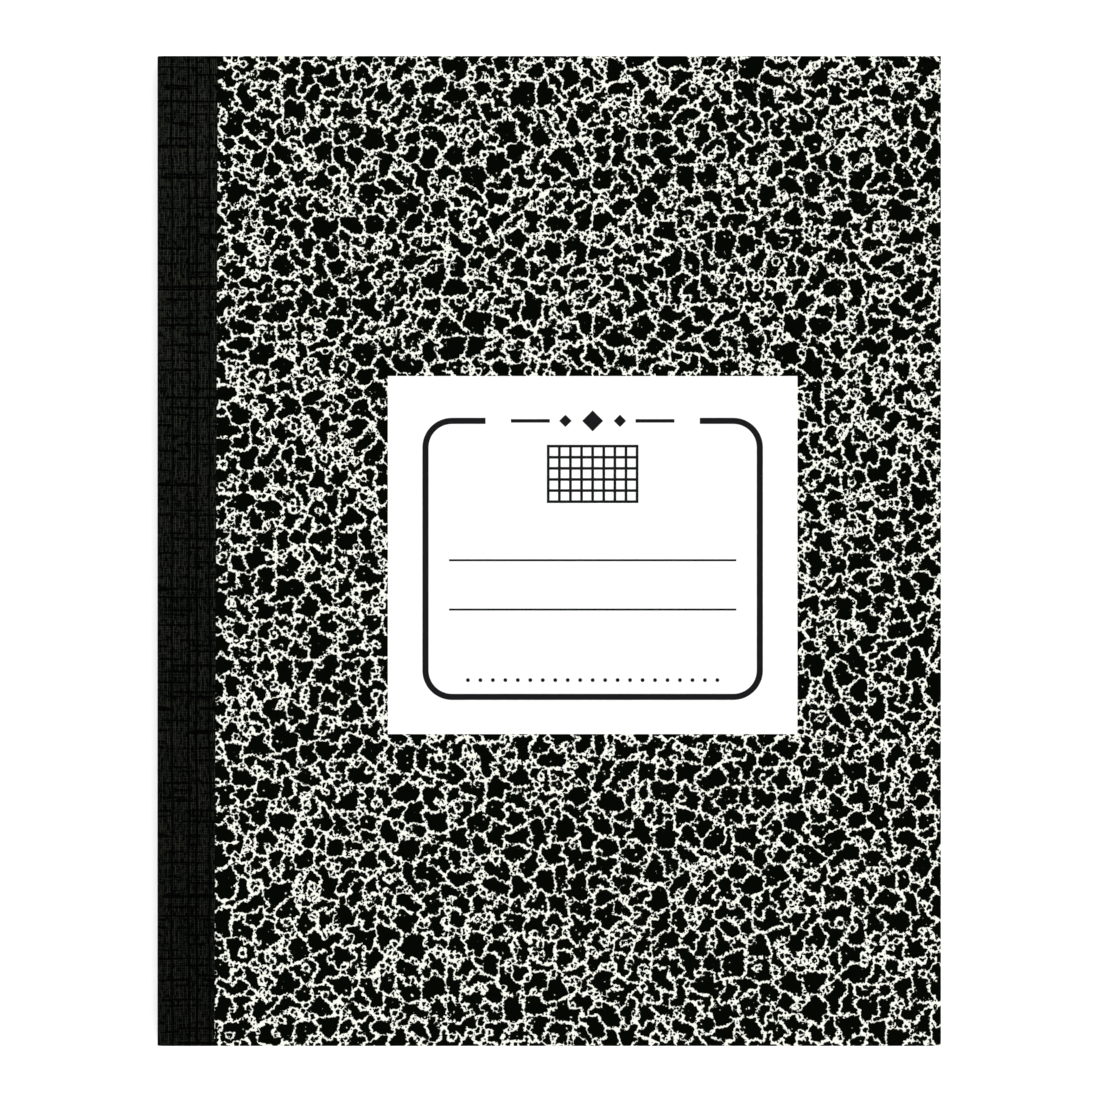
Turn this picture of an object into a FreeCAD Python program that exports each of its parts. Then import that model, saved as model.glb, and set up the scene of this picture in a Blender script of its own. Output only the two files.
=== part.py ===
"""Composition notebook: a sewn stack of leaves between two flush-cut marbled boards, with a
cloth-grain tape round the spine and a paste-on label on the front cover.

Millimetres, +Z up. The book lies closed on its back cover: X runs from the spine (-X) to the
fore-edge (+X), Y from the tail (-Y) to the head (+Y). The origin is the middle of the underside.
"""

import FreeCAD, Part
import os
import Sketcher

# The driving sizes: alias, value in millimetres (or a count), what it is.
SIZES = [
    ("leaf_width", 200.5, "trimmed leaf, from the fold to the fore-edge"),
    ("leaf_height", 254.0, "trimmed leaf, tail to head"),
    ("leaf_count", 80, "leaves in the one sewn section"),
    ("leaf_gauge", 0.1, "thickness of one leaf"),
    ("fold_radius", 3.0, "rounding of the pressed fold at the spine"),
    ("endpaper_gauge", 0.1, "outermost sheet, pasted to both boards"),
    ("board_gauge", 0.6, "cover board without its paper"),
    ("marble_gauge", 0.1, "marbled paper on the outside of a board"),
    ("tape_gauge", 0.2, "spine tape"),
    ("tape_corner", 2.0, "inside radius where the tape turns on to a cover"),
    ("board_clearance", 0.2, "from the end of that turn to a board's spine edge"),
    ("tape_cover_head", 15.6, "width of tape seen on a cover, at the head"),
    ("tape_cover_tail", 14.7, "width of tape seen on a cover, at the tail"),
    ("hinge_gap", 0.1, "slit between what turns with a cover and what stays"),
    ("thread_diameter", 0.3, "sewing thread"),
    ("thread_clearance", 0.05, "room around the thread in the paper"),
    ("stitch_pitch", 8.0, "length of one stitch"),
    ("label_width", 105.1, "label along X"),
    ("label_height", 91.85, "label along Y"),
    ("label_gauge", 0.1, "label paper"),
    ("label_to_fore", 11.2, "cover's middle to the label's middle, towards the fore-edge"),
    ("label_to_tail", 1.05, "cover's middle to the label's middle, towards the tail"),
    ("ink_gauge", 0.02, "height of the printed lines"),
    ("border_side_margin", 8.87, "label's side to the printed border"),
    ("border_head_margin", 10.7, "label's top edge to the border"),
    ("border_foot_margin", 8.75, "label's foot to the border"),
    ("border_stroke", 1.58, "thickness of the border's line"),
    ("border_corner", 7.6, "outside radius of the border's corners"),
    ("border_top_run", 16.2, "border's side to the opening in its top line"),
    ("lozenge_size", 5.4, "middle ornament in that opening, point to point"),
    ("small_lozenge_size", 3.2, "ornament on each side of it, point to point"),
    ("small_lozenge_offset", 7.0, "middle ornament to the one beside it"),
    ("dash_offset", 11.0, "middle ornament to the near end of a dash"),
    ("dash_to_border", 6.5, "far end of a dash to the border's top line"),
    ("dash_stroke", 0.9, "thickness of a dash"),
    ("rule_margin", 15.7, "label's side to a writing line"),
    ("rule_stroke", 0.52, "thickness of a writing line"),
    ("rule_rise", 31.95, "label's foot to the lower writing line"),
    ("rule_spacing", 12.65, "lower writing line to the upper"),
    ("emblem_pitch", 2.85, "square of the grid emblem"),
    ("emblem_columns", 8, "squares across the emblem"),
    ("emblem_rows", 5, "squares up the emblem"),
    ("emblem_stroke", 0.7, "thickness of the emblem's lines"),
    ("emblem_drop", 25.1, "label's top edge to the emblem's middle"),
    ("dot_diameter", 1.0, "dot of the dotted line at the label's foot"),
    ("dot_pitch", 3.2, "spacing of those dots"),
    ("dot_margin", 20.0, "label's side to the dotted line, at least"),
    ("dot_rise", 13.85, "label's foot to the dotted line"),
]

# Derived sizes and places, as formulas on the sizes. Z is measured up from the table.
ROUND_SHARE = 0.49  # most of a thickness that one of its two rounded edges may take
BLOCK = "(Sizes.leaf_count * Sizes.leaf_gauge)"
FOLD = f"min(Sizes.fold_radius; {ROUND_SHARE} * {BLOCK})"
WRAP = "(Sizes.endpaper_gauge + Sizes.thread_diameter + Sizes.tape_gauge)"
X_FORE = f"((Sizes.leaf_width + {WRAP}) / 2)"
X_SPINE = f"(-{X_FORE})"
X_FOLD = f"({X_FORE} - Sizes.leaf_width)"
X_FLAT = f"({X_FOLD} + {FOLD})"
Y_HEAD = "(Sizes.leaf_height / 2)"
Y_TAIL = f"(-{Y_HEAD})"
Z_BACK_FACE = "(Sizes.tape_gauge)"
Z_BACK_BOARD = f"({Z_BACK_FACE} + Sizes.marble_gauge)"
Z_BACK_LINING = f"({Z_BACK_BOARD} + Sizes.board_gauge)"
Z_BLOCK = f"({Z_BACK_LINING} + Sizes.endpaper_gauge)"
Z_MIDDLE = f"({Z_BLOCK} + {BLOCK} / 2)"
Z_LEAVES_TOP = f"({Z_BLOCK} + {BLOCK})"
Z_FRONT_BOARD = f"({Z_LEAVES_TOP} + Sizes.endpaper_gauge)"
Z_FRONT_PAPER = f"({Z_FRONT_BOARD} + Sizes.board_gauge)"
Z_FRONT_FACE = f"({Z_FRONT_PAPER} + Sizes.marble_gauge)"
Z_TOP = f"({Z_FRONT_FACE} + Sizes.tape_gauge)"
TAPE_TURN = f"min(Sizes.tape_corner; {ROUND_SHARE} * ({Z_FRONT_FACE} - {Z_BACK_FACE}))"
X_BOARD = f"({X_SPINE} + Sizes.tape_gauge + {TAPE_TURN} + Sizes.board_clearance)"
X_LABEL = "Sizes.label_to_fore"
Y_LABEL_TOP = "(Sizes.label_height / 2 - Sizes.label_to_tail)"
Y_LABEL_FOOT = "(-Sizes.label_height / 2 - Sizes.label_to_tail)"
Z_LABEL_TOP = f"({Z_FRONT_FACE} + Sizes.label_gauge)"
BORDER_WIDTH = "(Sizes.label_width - 2 * Sizes.border_side_margin)"
BORDER_OPENING = f"({BORDER_WIDTH} - 2 * Sizes.border_top_run)"
Y_BORDER_LINE = f"({Y_LABEL_TOP} - Sizes.border_head_margin - Sizes.border_stroke / 2)"
DOTS = "(floor((Sizes.label_width - 2 * Sizes.dot_margin) / Sizes.dot_pitch) + 1)"
THREAD_HOLE = "(Sizes.thread_diameter / 2 + Sizes.thread_clearance)"
X_THREAD_OUTSIDE = f"({X_FOLD} - Sizes.endpaper_gauge - Sizes.thread_diameter / 2)"
X_THREAD_INSIDE = f"({X_FOLD} + {BLOCK} / 2)"
STITCHES = "floor(Sizes.leaf_height / Sizes.stitch_pitch)"
Y_FIRST_STITCH = f"(-({STITCHES} - 1) * Sizes.stitch_pitch / 2)"
CUT_MARGIN = 1.0  # how far a cutting outline runs past the material it removes
CUT_THROUGH = f"Sizes.leaf_height + {CUT_MARGIN}"
SAME_PLACE = 1e-4  # two coordinates closer than this are the same

doc = FreeCAD.newDocument("CompositionNotebook")


def make_sheet():
    """Writes the driving sizes to the spreadsheet, one row each."""
    sheet = doc.addObject("Spreadsheet::Sheet", "Sizes")
    for row, (alias, value, meaning) in enumerate(SIZES, 1):
        sheet.set(f"A{row}", meaning)
        sheet.set(f"B{row}", str(value))
        sheet.setAlias(f"B{row}", alias)
    doc.recompute()
    return sheet


def bind(thing, **formulas):
    """Binds properties of a document object to formulas; a double underscore stands for a dot."""
    for name, formula in formulas.items():
        thing.setExpression(name.replace("__", "."), formula)
    return thing


def make_body(name):
    return doc.addObject("PartDesign::Body", name)


def origin_part(body, role):
    return next(f for f in body.Origin.OriginFeatures if f.Role == role)


def make_sketch(body, name, role, offset=None):
    """A sketch on one of the body's origin planes, moved along the plane's normal by offset."""
    sketch = body.newObject("Sketcher::SketchObject", name)
    sketch.AttachmentSupport = [(origin_part(body, role), "")]
    sketch.MapMode = "FlatFace"
    if offset:
        sketch.setExpression("AttachmentOffset.Base.z", offset)
    return sketch


def place_point(sketch, label, edge, end, across, up):
    """Holds one end of a sketch line, or a circle's centre, at a place given by two formulas."""
    for suffix, kind, formula in (("x", "DistanceX", across), ("y", "DistanceY", up)):
        constraint = Sketcher.Constraint(kind, -1, 1, edge, end, doc_value(formula))
        index = sketch.addConstraint(constraint)
        sketch.renameConstraint(index, f"{label}_{suffix}")
        sketch.setExpression(f"Constraints.{label}_{suffix}", formula)


def outline(sketch, points):
    """A closed outline of straight lines through points, each a pair of formulas."""
    count = len(points)
    start = [FreeCAD.Vector(doc_value(x), doc_value(y), 0) for x, y in points]
    for i in range(count):
        sketch.addGeometry(Part.LineSegment(start[i], start[(i + 1) % count]))
    for i in range(count):
        sketch.addConstraint(Sketcher.Constraint("Coincident", i, 2, (i + 1) % count, 1))
    for i, (x, y) in enumerate(points):
        place_point(sketch, f"corner{i}", i, 1, x, y)
    return sketch


def rectangle(sketch, left, right, bottom, top):
    return outline(sketch, [(left, bottom), (right, bottom), (right, top), (left, top)])


def circle(sketch, across, up, radius):
    """A full circle; its centre's place and its radius are formulas."""
    centre = FreeCAD.Vector(doc_value(across), doc_value(up), 0)
    edge = sketch.addGeometry(Part.Circle(centre, FreeCAD.Vector(0, 0, 1), doc_value(radius)))
    place_point(sketch, "centre", edge, 3, across, up)
    index = sketch.addConstraint(Sketcher.Constraint("Radius", edge, doc_value(radius)))
    sketch.renameConstraint(index, "radius")
    sketch.setExpression("Constraints.radius", radius)
    return sketch


def doc_value(formula):
    """The present value of a formula, read from the spreadsheet."""
    result = sizes.evalExpression(formula)
    return float(getattr(result, "Value", result))


def extrude(body, kind, name, sketch, length, side="One side", reverse=False):
    """A Pad or Pocket of a sketch. It must add or remove material."""
    doc.recompute()
    before = body.Shape.Volume if not body.Shape.isNull() else 0.0
    feature = body.newObject(f"PartDesign::{kind}", name)
    feature.Profile = sketch
    feature.SideType = side
    feature.Reversed = reverse
    feature.setExpression("Length", length)
    body.Tip = feature
    doc.recompute()
    change = body.Shape.Volume - before
    if (change > 0) != (kind == "Pad") or change == 0:
        raise RuntimeError(f"{body.Name}: {name} changed the volume by {change}")
    return feature


def fillet(body, name, radius, wanted):
    """Fillets those of the tip's edges whose two end points satisfy wanted."""
    tip = body.Tip
    chosen = []
    for number, edge in enumerate(tip.Shape.Edges, 1):
        ends = [vertex.Point for vertex in edge.Vertexes]
        if len(ends) == 2 and wanted(*ends):
            chosen.append(f"Edge{number}")
    rounded = body.newObject("PartDesign::Fillet", name)
    rounded.Base = (tip, chosen)
    rounded.setExpression("Radius", radius)
    body.Tip = rounded
    doc.recompute()
    return rounded


def round_edges_at(body, name, radius, place):
    """Fillets the tip's edges that run along Y at one X."""
    fillet(body, name, radius, lambda p, q: at(p.x, place) and at(q.x, place) and p.y != q.y)


def repeat_stitches(body, name, original):
    """Repeats a feature along Y, once for each stitch."""
    row = body.newObject("PartDesign::LinearPattern", name)
    row.Originals = [original]
    row.Direction = (origin_part(body, "Y_Axis"), [""])
    row.Mode = "Spacing"
    bind(row, Offset="Sizes.stitch_pitch", Occurrences=STITCHES)
    body.Tip = row
    doc.recompute()
    return row


def trim(body, name, left, right, bottom, top):
    """Cuts away what lies in a stretch of X and Z, over the whole height of the leaf."""
    sketch = rectangle(
        make_sketch(body, f"{name}End", "XZ_Plane"), left, right, bottom, top
    )
    extrude(body, "Pocket", name, sketch, CUT_THROUGH, "Symmetric")


def stitch_circle(body, name, radius, start):
    """The first stitch's hole or thread, drawn across the fold on a plane facing +X at start."""
    sketch = make_sketch(body, name, "YZ_Plane", start)
    return circle(sketch, Y_FIRST_STITCH, Z_MIDDLE, radius)


def at(value, formula):
    """Whether a coordinate is at the place that a formula gives."""
    return abs(value - doc_value(formula)) < SAME_PLACE


def page_block():
    """The leaves as one solid: a folded, pressed and trimmed section, with its sewing holes."""
    body = make_body("page_block")
    section = rectangle(
        make_sketch(body, "LeavesEnd", "XZ_Plane"), X_FOLD, X_FORE, Z_BLOCK, Z_LEAVES_TOP
    )
    extrude(body, "Pad", "Leaves", section, "Sizes.leaf_height", "Symmetric")
    round_edges_at(body, "Fold", FOLD, X_FOLD)
    gutter = circle(
        make_sketch(body, "GutterEnd", "XZ_Plane"), X_THREAD_INSIDE, Z_MIDDLE, THREAD_HOLE
    )
    extrude(body, "Pocket", "Gutter", gutter, CUT_THROUGH, "Symmetric")
    hole = stitch_circle(body, "HoleEnd", THREAD_HOLE, X_FOLD)
    punched = extrude(body, "Pocket", "SewingHole", hole, f"{BLOCK} / 2", reverse=True)
    repeat_stitches(body, "SewingHoles", punched)


def hollow_out(body, x_outside, gauge, low, high, radius):
    """Cuts a block back to a strip of even thickness that turns round the spine."""
    x_inside = f"({x_outside} + {gauge})"
    inside = rectangle(
        make_sketch(body, "InsideEnd", "XZ_Plane"), x_inside, X_FORE, low, high
    )
    extrude(body, "Pocket", "Inside", inside, CUT_THROUGH, "Symmetric")
    round_edges_at(body, "InsideTurn", radius, x_inside)
    round_edges_at(body, "OutsideTurn", f"{radius} + {gauge}", x_outside)


def endpaper_fold():
    """The part of the outermost sheet that goes round the fold, from leaf face to leaf face."""
    body = make_body("endpaper_fold")
    gauge = "Sizes.endpaper_gauge"
    x_outside = f"({X_FOLD} - {gauge})"
    section = rectangle(
        make_sketch(body, "WrapEnd", "XZ_Plane"),
        x_outside,
        f"{X_FLAT} + {CUT_MARGIN}",
        f"{Z_BLOCK} - {gauge}",
        f"{Z_LEAVES_TOP} + {gauge}",
    )
    extrude(body, "Pad", "Wrap", section, "Sizes.leaf_height", "Symmetric")
    hollow_out(body, x_outside, gauge, Z_BLOCK, Z_LEAVES_TOP, FOLD)
    trim(body, "HingeSide", X_FLAT, X_FORE, Z_BACK_FACE, Z_TOP)
    hole = stitch_circle(body, "HoleEnd", THREAD_HOLE, f"{x_outside} - {CUT_MARGIN}")
    punched = extrude(
        body, "Pocket", "SewingHole", hole, f"{gauge} + 2 * {CUT_MARGIN}", reverse=True
    )
    repeat_stitches(body, "SewingHoles", punched)


def sewing_thread():
    """One lock-stitched seam: a run outside the fold, one in the gutter, joined at each hole."""
    body = make_body("sewing_thread")
    radius = "Sizes.thread_diameter / 2"
    outside = circle(
        make_sketch(body, "OutsideEnd", "XZ_Plane"), X_THREAD_OUTSIDE, Z_MIDDLE, radius
    )
    extrude(body, "Pad", "OutsideRun", outside, "Sizes.leaf_height", "Symmetric")
    leg = stitch_circle(body, "LegEnd", radius, X_THREAD_OUTSIDE)
    reach = f"{X_THREAD_INSIDE} - {X_THREAD_OUTSIDE}"
    through = extrude(body, "Pad", "Leg", leg, reach)
    repeat_stitches(body, "Legs", through)
    inside = circle(
        make_sketch(body, "InsideEnd", "XZ_Plane"), X_THREAD_INSIDE, Z_MIDDLE, radius
    )
    extrude(body, "Pad", "InsideRun", inside, "Sizes.leaf_height", "Symmetric")


def tape_wrap(name):
    """A full length of the tape, wrapped round the spine; its edges on the covers are askew."""
    body = make_body(name)
    plan = outline(
        make_sketch(body, "TapePlan", "XY_Plane"),
        [
            (X_SPINE, Y_TAIL),
            (f"{X_SPINE} + Sizes.tape_cover_tail", Y_TAIL),
            (f"{X_SPINE} + Sizes.tape_cover_head", Y_HEAD),
            (X_SPINE, Y_HEAD),
        ],
    )
    extrude(body, "Pad", "Tape", plan, Z_TOP)
    hollow_out(body, X_SPINE, "Sizes.tape_gauge", Z_BACK_FACE, Z_FRONT_FACE, TAPE_TURN)
    return body


def spine_tape():
    """The tape in three lengths, parted where a real one bends as a cover opens."""
    below = f"(-{CUT_MARGIN})"
    above = f"({Z_TOP} + {CUT_MARGIN})"
    left = f"({X_SPINE} - {CUT_MARGIN})"
    middle = tape_wrap("spine_tape")
    trim(middle, "BackSlit", left, X_FORE, below, f"{Z_BLOCK} + Sizes.hinge_gap")
    trim(middle, "FrontSlit", left, X_FORE, f"{Z_LEAVES_TOP} - Sizes.hinge_gap", above)
    front = tape_wrap("spine_tape_front")
    trim(front, "BelowHinge", left, X_FORE, below, Z_LEAVES_TOP)
    back = tape_wrap("spine_tape_back")
    trim(back, "AboveHinge", left, X_FORE, Z_BLOCK, above)


def flat_sheet(name, left, right, bottom, gauge, tail=Y_TAIL, depth="Sizes.leaf_height"):
    """A flat sheet or bar: its left and right edges, its underside and its thickness."""
    sheet = doc.addObject("Part::Box", name)
    return bind(
        sheet,
        Length=f"{right} - {left}",
        Width=depth,
        Height=gauge,
        Placement__Base__x=left,
        Placement__Base__y=tail,
        Placement__Base__z=bottom,
    )


def cover(side, board_z, paper_z, lining_z):
    """One cover: its board, its marbled paper and the endpaper leaf pasted inside it."""
    x_lining = f"({X_FLAT} + Sizes.hinge_gap)"
    flat_sheet(f"{side}_board", X_BOARD, X_FORE, board_z, "Sizes.board_gauge")
    flat_sheet(f"{side}_marbled_paper", X_BOARD, X_FORE, paper_z, "Sizes.marble_gauge")
    flat_sheet(f"{side}_endpaper", x_lining, X_FORE, lining_z, "Sizes.endpaper_gauge")


def cover_label():
    """The blank label, pasted on the front cover."""
    flat_sheet(
        "cover_label",
        f"({X_LABEL} - Sizes.label_width / 2)",
        f"({X_LABEL} + Sizes.label_width / 2)",
        Z_FRONT_FACE,
        "Sizes.label_gauge",
        Y_LABEL_FOOT,
        "Sizes.label_height",
    )


def ink_bar(name, middle_x, middle_y, length, stroke):
    """A printed bar on the label, given by its middle, its length along X and its size along Y."""
    return flat_sheet(
        name,
        f"({middle_x} - {length} / 2)",
        f"({middle_x} + {length} / 2)",
        Z_LABEL_TOP,
        "Sizes.ink_gauge",
        f"({middle_y} - {stroke} / 2)",
        stroke,
    )


def border_plate(name, inset):
    """A plate with the border's rounded corners, smaller by inset all round."""
    body = make_body(name)
    half = f"({BORDER_WIDTH} / 2 - {inset})"
    plan = rectangle(
        make_sketch(body, f"{name}Plan", "XY_Plane", Z_LABEL_TOP),
        f"{X_LABEL} - {half}",
        f"{X_LABEL} + {half}",
        f"({Y_LABEL_FOOT} + Sizes.border_foot_margin + {inset})",
        f"({Y_LABEL_TOP} - Sizes.border_head_margin - {inset})",
    )
    extrude(body, "Pad", f"{name}Plate", plan, "Sizes.ink_gauge")
    corner = f"Sizes.border_corner - {inset}"
    fillet(body, f"{name}Corners", corner, lambda p, q: abs(p.z - q.z) > SAME_PLACE)
    return body


def printed_border():
    """The rounded border line, open in the middle of its top."""
    ring = doc.addObject("Part::Cut", "BorderRing")
    ring.Base = border_plate("BorderOutside", "0")
    ring.Tool = border_plate("BorderInside", "Sizes.border_stroke")
    border = doc.addObject("Part::Cut", "Border")
    border.Base = ring
    border.Tool = ink_bar(
        "BorderOpening",
        X_LABEL,
        Y_BORDER_LINE,
        BORDER_OPENING,
        f"(Sizes.border_stroke + {CUT_MARGIN})",
    )
    return [border]


def lozenge(name, middle_x, size):
    """A printed square on its corner, in line with the border's top."""
    mark = doc.addObject("Part::Box", name)
    mark.Placement.Rotation = FreeCAD.Rotation(FreeCAD.Vector(0, 0, 1), 45)
    return bind(
        mark,
        Length=f"{size} / sqrt(2)",
        Width=f"{size} / sqrt(2)",
        Height="Sizes.ink_gauge",
        Placement__Base__x=middle_x,
        Placement__Base__y=f"{Y_BORDER_LINE} - {size} / 2",
        Placement__Base__z=Z_LABEL_TOP,
    )


def border_ornament():
    """Three lozenges between two dashes, in the border's opening."""
    marks = [lozenge("Lozenge", X_LABEL, "Sizes.lozenge_size")]
    length = f"({BORDER_OPENING} / 2 - Sizes.dash_offset - Sizes.dash_to_border)"
    for side, way in (("Left", "-"), ("Right", "+")):
        x_lozenge = f"{X_LABEL} {way} Sizes.small_lozenge_offset"
        marks.append(lozenge(f"{side}Lozenge", x_lozenge, "Sizes.small_lozenge_size"))
        x_dash = f"({X_LABEL} {way} (Sizes.dash_offset + {length} / 2))"
        marks.append(
            ink_bar(f"{side}Dash", x_dash, Y_BORDER_LINE, length, "Sizes.dash_stroke")
        )
    return marks


def squared_emblem():
    """A small grid of squares, for the squared leaves inside."""
    y_middle = f"({Y_LABEL_TOP} - Sizes.emblem_drop)"
    stroke = "Sizes.emblem_stroke"
    width = f"(Sizes.emblem_columns * Sizes.emblem_pitch + {stroke})"
    height = f"(Sizes.emblem_rows * Sizes.emblem_pitch + {stroke})"
    marks = []
    for i in range(int(doc_value("Sizes.emblem_rows")) + 1):
        y_line = f"({y_middle} + ({i} - Sizes.emblem_rows / 2) * Sizes.emblem_pitch)"
        marks.append(ink_bar(f"GridAcross{i}", X_LABEL, y_line, width, stroke))
    for i in range(int(doc_value("Sizes.emblem_columns")) + 1):
        x_line = f"({X_LABEL} + ({i} - Sizes.emblem_columns / 2) * Sizes.emblem_pitch)"
        marks.append(ink_bar(f"GridUp{i}", x_line, y_middle, stroke, height))
    return marks


def writing_lines():
    """The two lines to write on."""
    length = "(Sizes.label_width - 2 * Sizes.rule_margin)"
    lines = []
    for i in range(2):
        y_line = f"({Y_LABEL_FOOT} + Sizes.rule_rise + {i} * Sizes.rule_spacing)"
        lines.append(
            ink_bar(f"WritingLine{i}", X_LABEL, y_line, length, "Sizes.rule_stroke")
        )
    return lines


def dotted_line():
    """The row of dots at the label's foot."""
    dots = []
    for i in range(int(doc_value(DOTS))):
        dot = doc.addObject("Part::Cylinder", f"Dot{i}")
        bind(
            dot,
            Radius="Sizes.dot_diameter / 2",
            Height="Sizes.ink_gauge",
            Placement__Base__x=f"{X_LABEL} + ({i} - ({DOTS} - 1) / 2) * Sizes.dot_pitch",
            Placement__Base__y=f"{Y_LABEL_FOOT} + Sizes.dot_rise",
            Placement__Base__z=Z_LABEL_TOP,
        )
        dots.append(dot)
    return dots


def label_print():
    """All the printed lines and marks on the label, as one group of thin solids."""
    group = doc.addObject("Part::MultiFuse", "label_print")
    group.Shapes = (
        printed_border()
        + border_ornament()
        + squared_emblem()
        + writing_lines()
        + dotted_line()
    )


NODES = [
    "page_block",
    "endpaper_fold",
    "sewing_thread",
    "spine_tape",
    "spine_tape_front",
    "spine_tape_back",
    "front_board",
    "front_marbled_paper",
    "front_endpaper",
    "back_board",
    "back_marbled_paper",
    "back_endpaper",
    "cover_label",
    "label_print",
]


def write_parts():
    """Checks the whole document, then writes one file for each sub-part."""
    failed = [o.Name for o in doc.Objects if {"Invalid", "Error"} & set(o.State)]
    if failed:
        raise RuntimeError(f"these objects failed: {failed}")
    os.makedirs("parts", exist_ok=True)
    for name in NODES:
        shape = doc.getObject(name).Shape
        if shape.isNull() or not shape.isValid() or not shape.Solids:
            raise RuntimeError(f"{name} is not a valid solid")
        shape.exportStep(f"parts/{name}.step")
        box = shape.BoundBox
        print(
            f"{name}: {len(shape.Solids)} solid(s), {shape.Volume:.2f} mm3,"
            f" x {box.XMin:.2f}..{box.XMax:.2f}, y {box.YMin:.2f}..{box.YMax:.2f},"
            f" z {box.ZMin:.2f}..{box.ZMax:.2f}"
        )


sizes = make_sheet()
page_block()
endpaper_fold()
sewing_thread()
spine_tape()
cover("front", Z_FRONT_BOARD, Z_FRONT_PAPER, Z_LEAVES_TOP)
cover("back", Z_BACK_BOARD, Z_BACK_FACE, Z_BACK_LINING)
cover_label()
label_print()
for node in NODES:
    doc.getObject(node).Label = node
doc.recompute()
write_parts()
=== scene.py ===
"""Composition notebook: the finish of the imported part, laid out as a Blender add-on.

Metres, in the part's own frame: the book lies closed on its back cover, +X to the fore-edge, +Y to
the head, +Z up. Each operator makes one piece or a group of like pieces where the part has it.
"""

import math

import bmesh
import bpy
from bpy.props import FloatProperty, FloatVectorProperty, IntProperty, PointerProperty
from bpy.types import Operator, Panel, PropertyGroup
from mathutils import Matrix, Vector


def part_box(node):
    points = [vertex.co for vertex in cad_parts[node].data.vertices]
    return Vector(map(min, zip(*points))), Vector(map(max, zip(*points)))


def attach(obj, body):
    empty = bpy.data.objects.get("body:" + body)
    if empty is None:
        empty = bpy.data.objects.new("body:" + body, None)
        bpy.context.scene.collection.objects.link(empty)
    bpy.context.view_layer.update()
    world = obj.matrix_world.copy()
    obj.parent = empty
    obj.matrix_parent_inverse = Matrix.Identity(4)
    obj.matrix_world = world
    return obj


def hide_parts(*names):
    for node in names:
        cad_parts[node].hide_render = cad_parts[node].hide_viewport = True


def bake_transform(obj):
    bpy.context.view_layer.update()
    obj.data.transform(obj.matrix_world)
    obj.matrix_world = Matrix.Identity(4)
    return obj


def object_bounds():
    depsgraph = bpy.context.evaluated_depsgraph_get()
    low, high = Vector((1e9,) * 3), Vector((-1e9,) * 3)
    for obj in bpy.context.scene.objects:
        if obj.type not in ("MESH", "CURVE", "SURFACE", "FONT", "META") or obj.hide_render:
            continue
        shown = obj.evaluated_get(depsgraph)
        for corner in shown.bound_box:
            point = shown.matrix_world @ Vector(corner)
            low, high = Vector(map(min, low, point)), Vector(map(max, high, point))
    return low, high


bl_info = {
    "name": "Composition Notebook",
    "version": (1, 0, 0),
    "blender": (4, 5, 0),
    "location": "3D View > Sidebar > Notebook",
    "description": "Leaves, covers, spine tape, marbling and label of a sewn composition notebook",
    "category": "Object",
}

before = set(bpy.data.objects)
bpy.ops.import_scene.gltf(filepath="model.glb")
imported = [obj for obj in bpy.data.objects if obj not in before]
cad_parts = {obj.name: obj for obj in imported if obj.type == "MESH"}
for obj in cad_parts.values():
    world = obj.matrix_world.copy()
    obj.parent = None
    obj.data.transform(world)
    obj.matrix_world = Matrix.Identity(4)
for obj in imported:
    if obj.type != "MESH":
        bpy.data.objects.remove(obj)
CAD_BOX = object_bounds()
MM = 0.001
HALF_TURN = math.pi

# A noise's middle value, and the span that most of it lies in.
NOISE_MIDDLE = 0.5
MID_TONES = (0.3, 0.7)

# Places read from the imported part.
BOOK_LOW, BOOK_HIGH = CAD_BOX
LEAVES_LOW, LEAVES_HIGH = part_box("page_block")
WRAP_LOW, WRAP_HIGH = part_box("endpaper_fold")
LINING_LOW, LINING_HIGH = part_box("front_endpaper")
THREAD_LOW, THREAD_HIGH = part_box("sewing_thread")
PAPER_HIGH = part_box("front_marbled_paper")[1]
TAPE_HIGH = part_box("spine_tape_front")[1]
MIDDLE_Z = (LEAVES_LOW.z + LEAVES_HIGH.z) / 2
TAIL_Y = LEAVES_LOW.y
HEAD_Y = LEAVES_HIGH.y
FOLD_RADIUS = WRAP_HIGH.x - LEAVES_LOW.x
LINING_GAUGE = LINING_HIGH.z - LINING_LOW.z
TAPE_GAUGE = TAPE_HIGH.z - PAPER_HIGH.z
SIDES = (("front", 1), ("back", -1))


class Socket:
    """A node's output. Arithmetic with it adds Math nodes to its tree."""

    def __init__(self, graph, socket):
        self.graph = graph
        self.socket = socket

    def math(self, operation, *others):
        """This number and others through a Math node."""
        return self.graph.chain("ShaderNodeMath", operation, self, *others)

    def vector(self, operation, *others):
        """This vector and others through a Vector Math node."""
        return self.graph.chain("ShaderNodeVectorMath", operation, self, *others)

    def __add__(self, other):
        return self.math("ADD", other)

    def __sub__(self, other):
        return self.math("SUBTRACT", other)

    def __mul__(self, other):
        return self.math("MULTIPLY", other)

    def __truediv__(self, other):
        return self.math("DIVIDE", other)

    __radd__ = __add__
    __rmul__ = __mul__

    def __rsub__(self, other):
        return self.math("MULTIPLY", -1.0).math("ADD", other)

    def between(self, low, high):
        """Low where this is 0, high where it is 1 and even between."""
        return self * (high - low) + low

    def step(self, low, high):
        """0 below low, 1 above high and smooth between."""
        bounds = {"From Min": low, "From Max": high}
        return self.graph.add(
            "ShaderNodeMapRange", {"interpolation_type": "SMOOTHSTEP"}, Value=self, **bounds
        )

    def parts(self):
        """The X, Y and Z of a vector, or the red, green and blue of a colour."""
        first = self.graph.add("ShaderNodeSeparateXYZ", Vector=self)
        return [Socket(self.graph, socket) for socket in first.socket.node.outputs]


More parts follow.
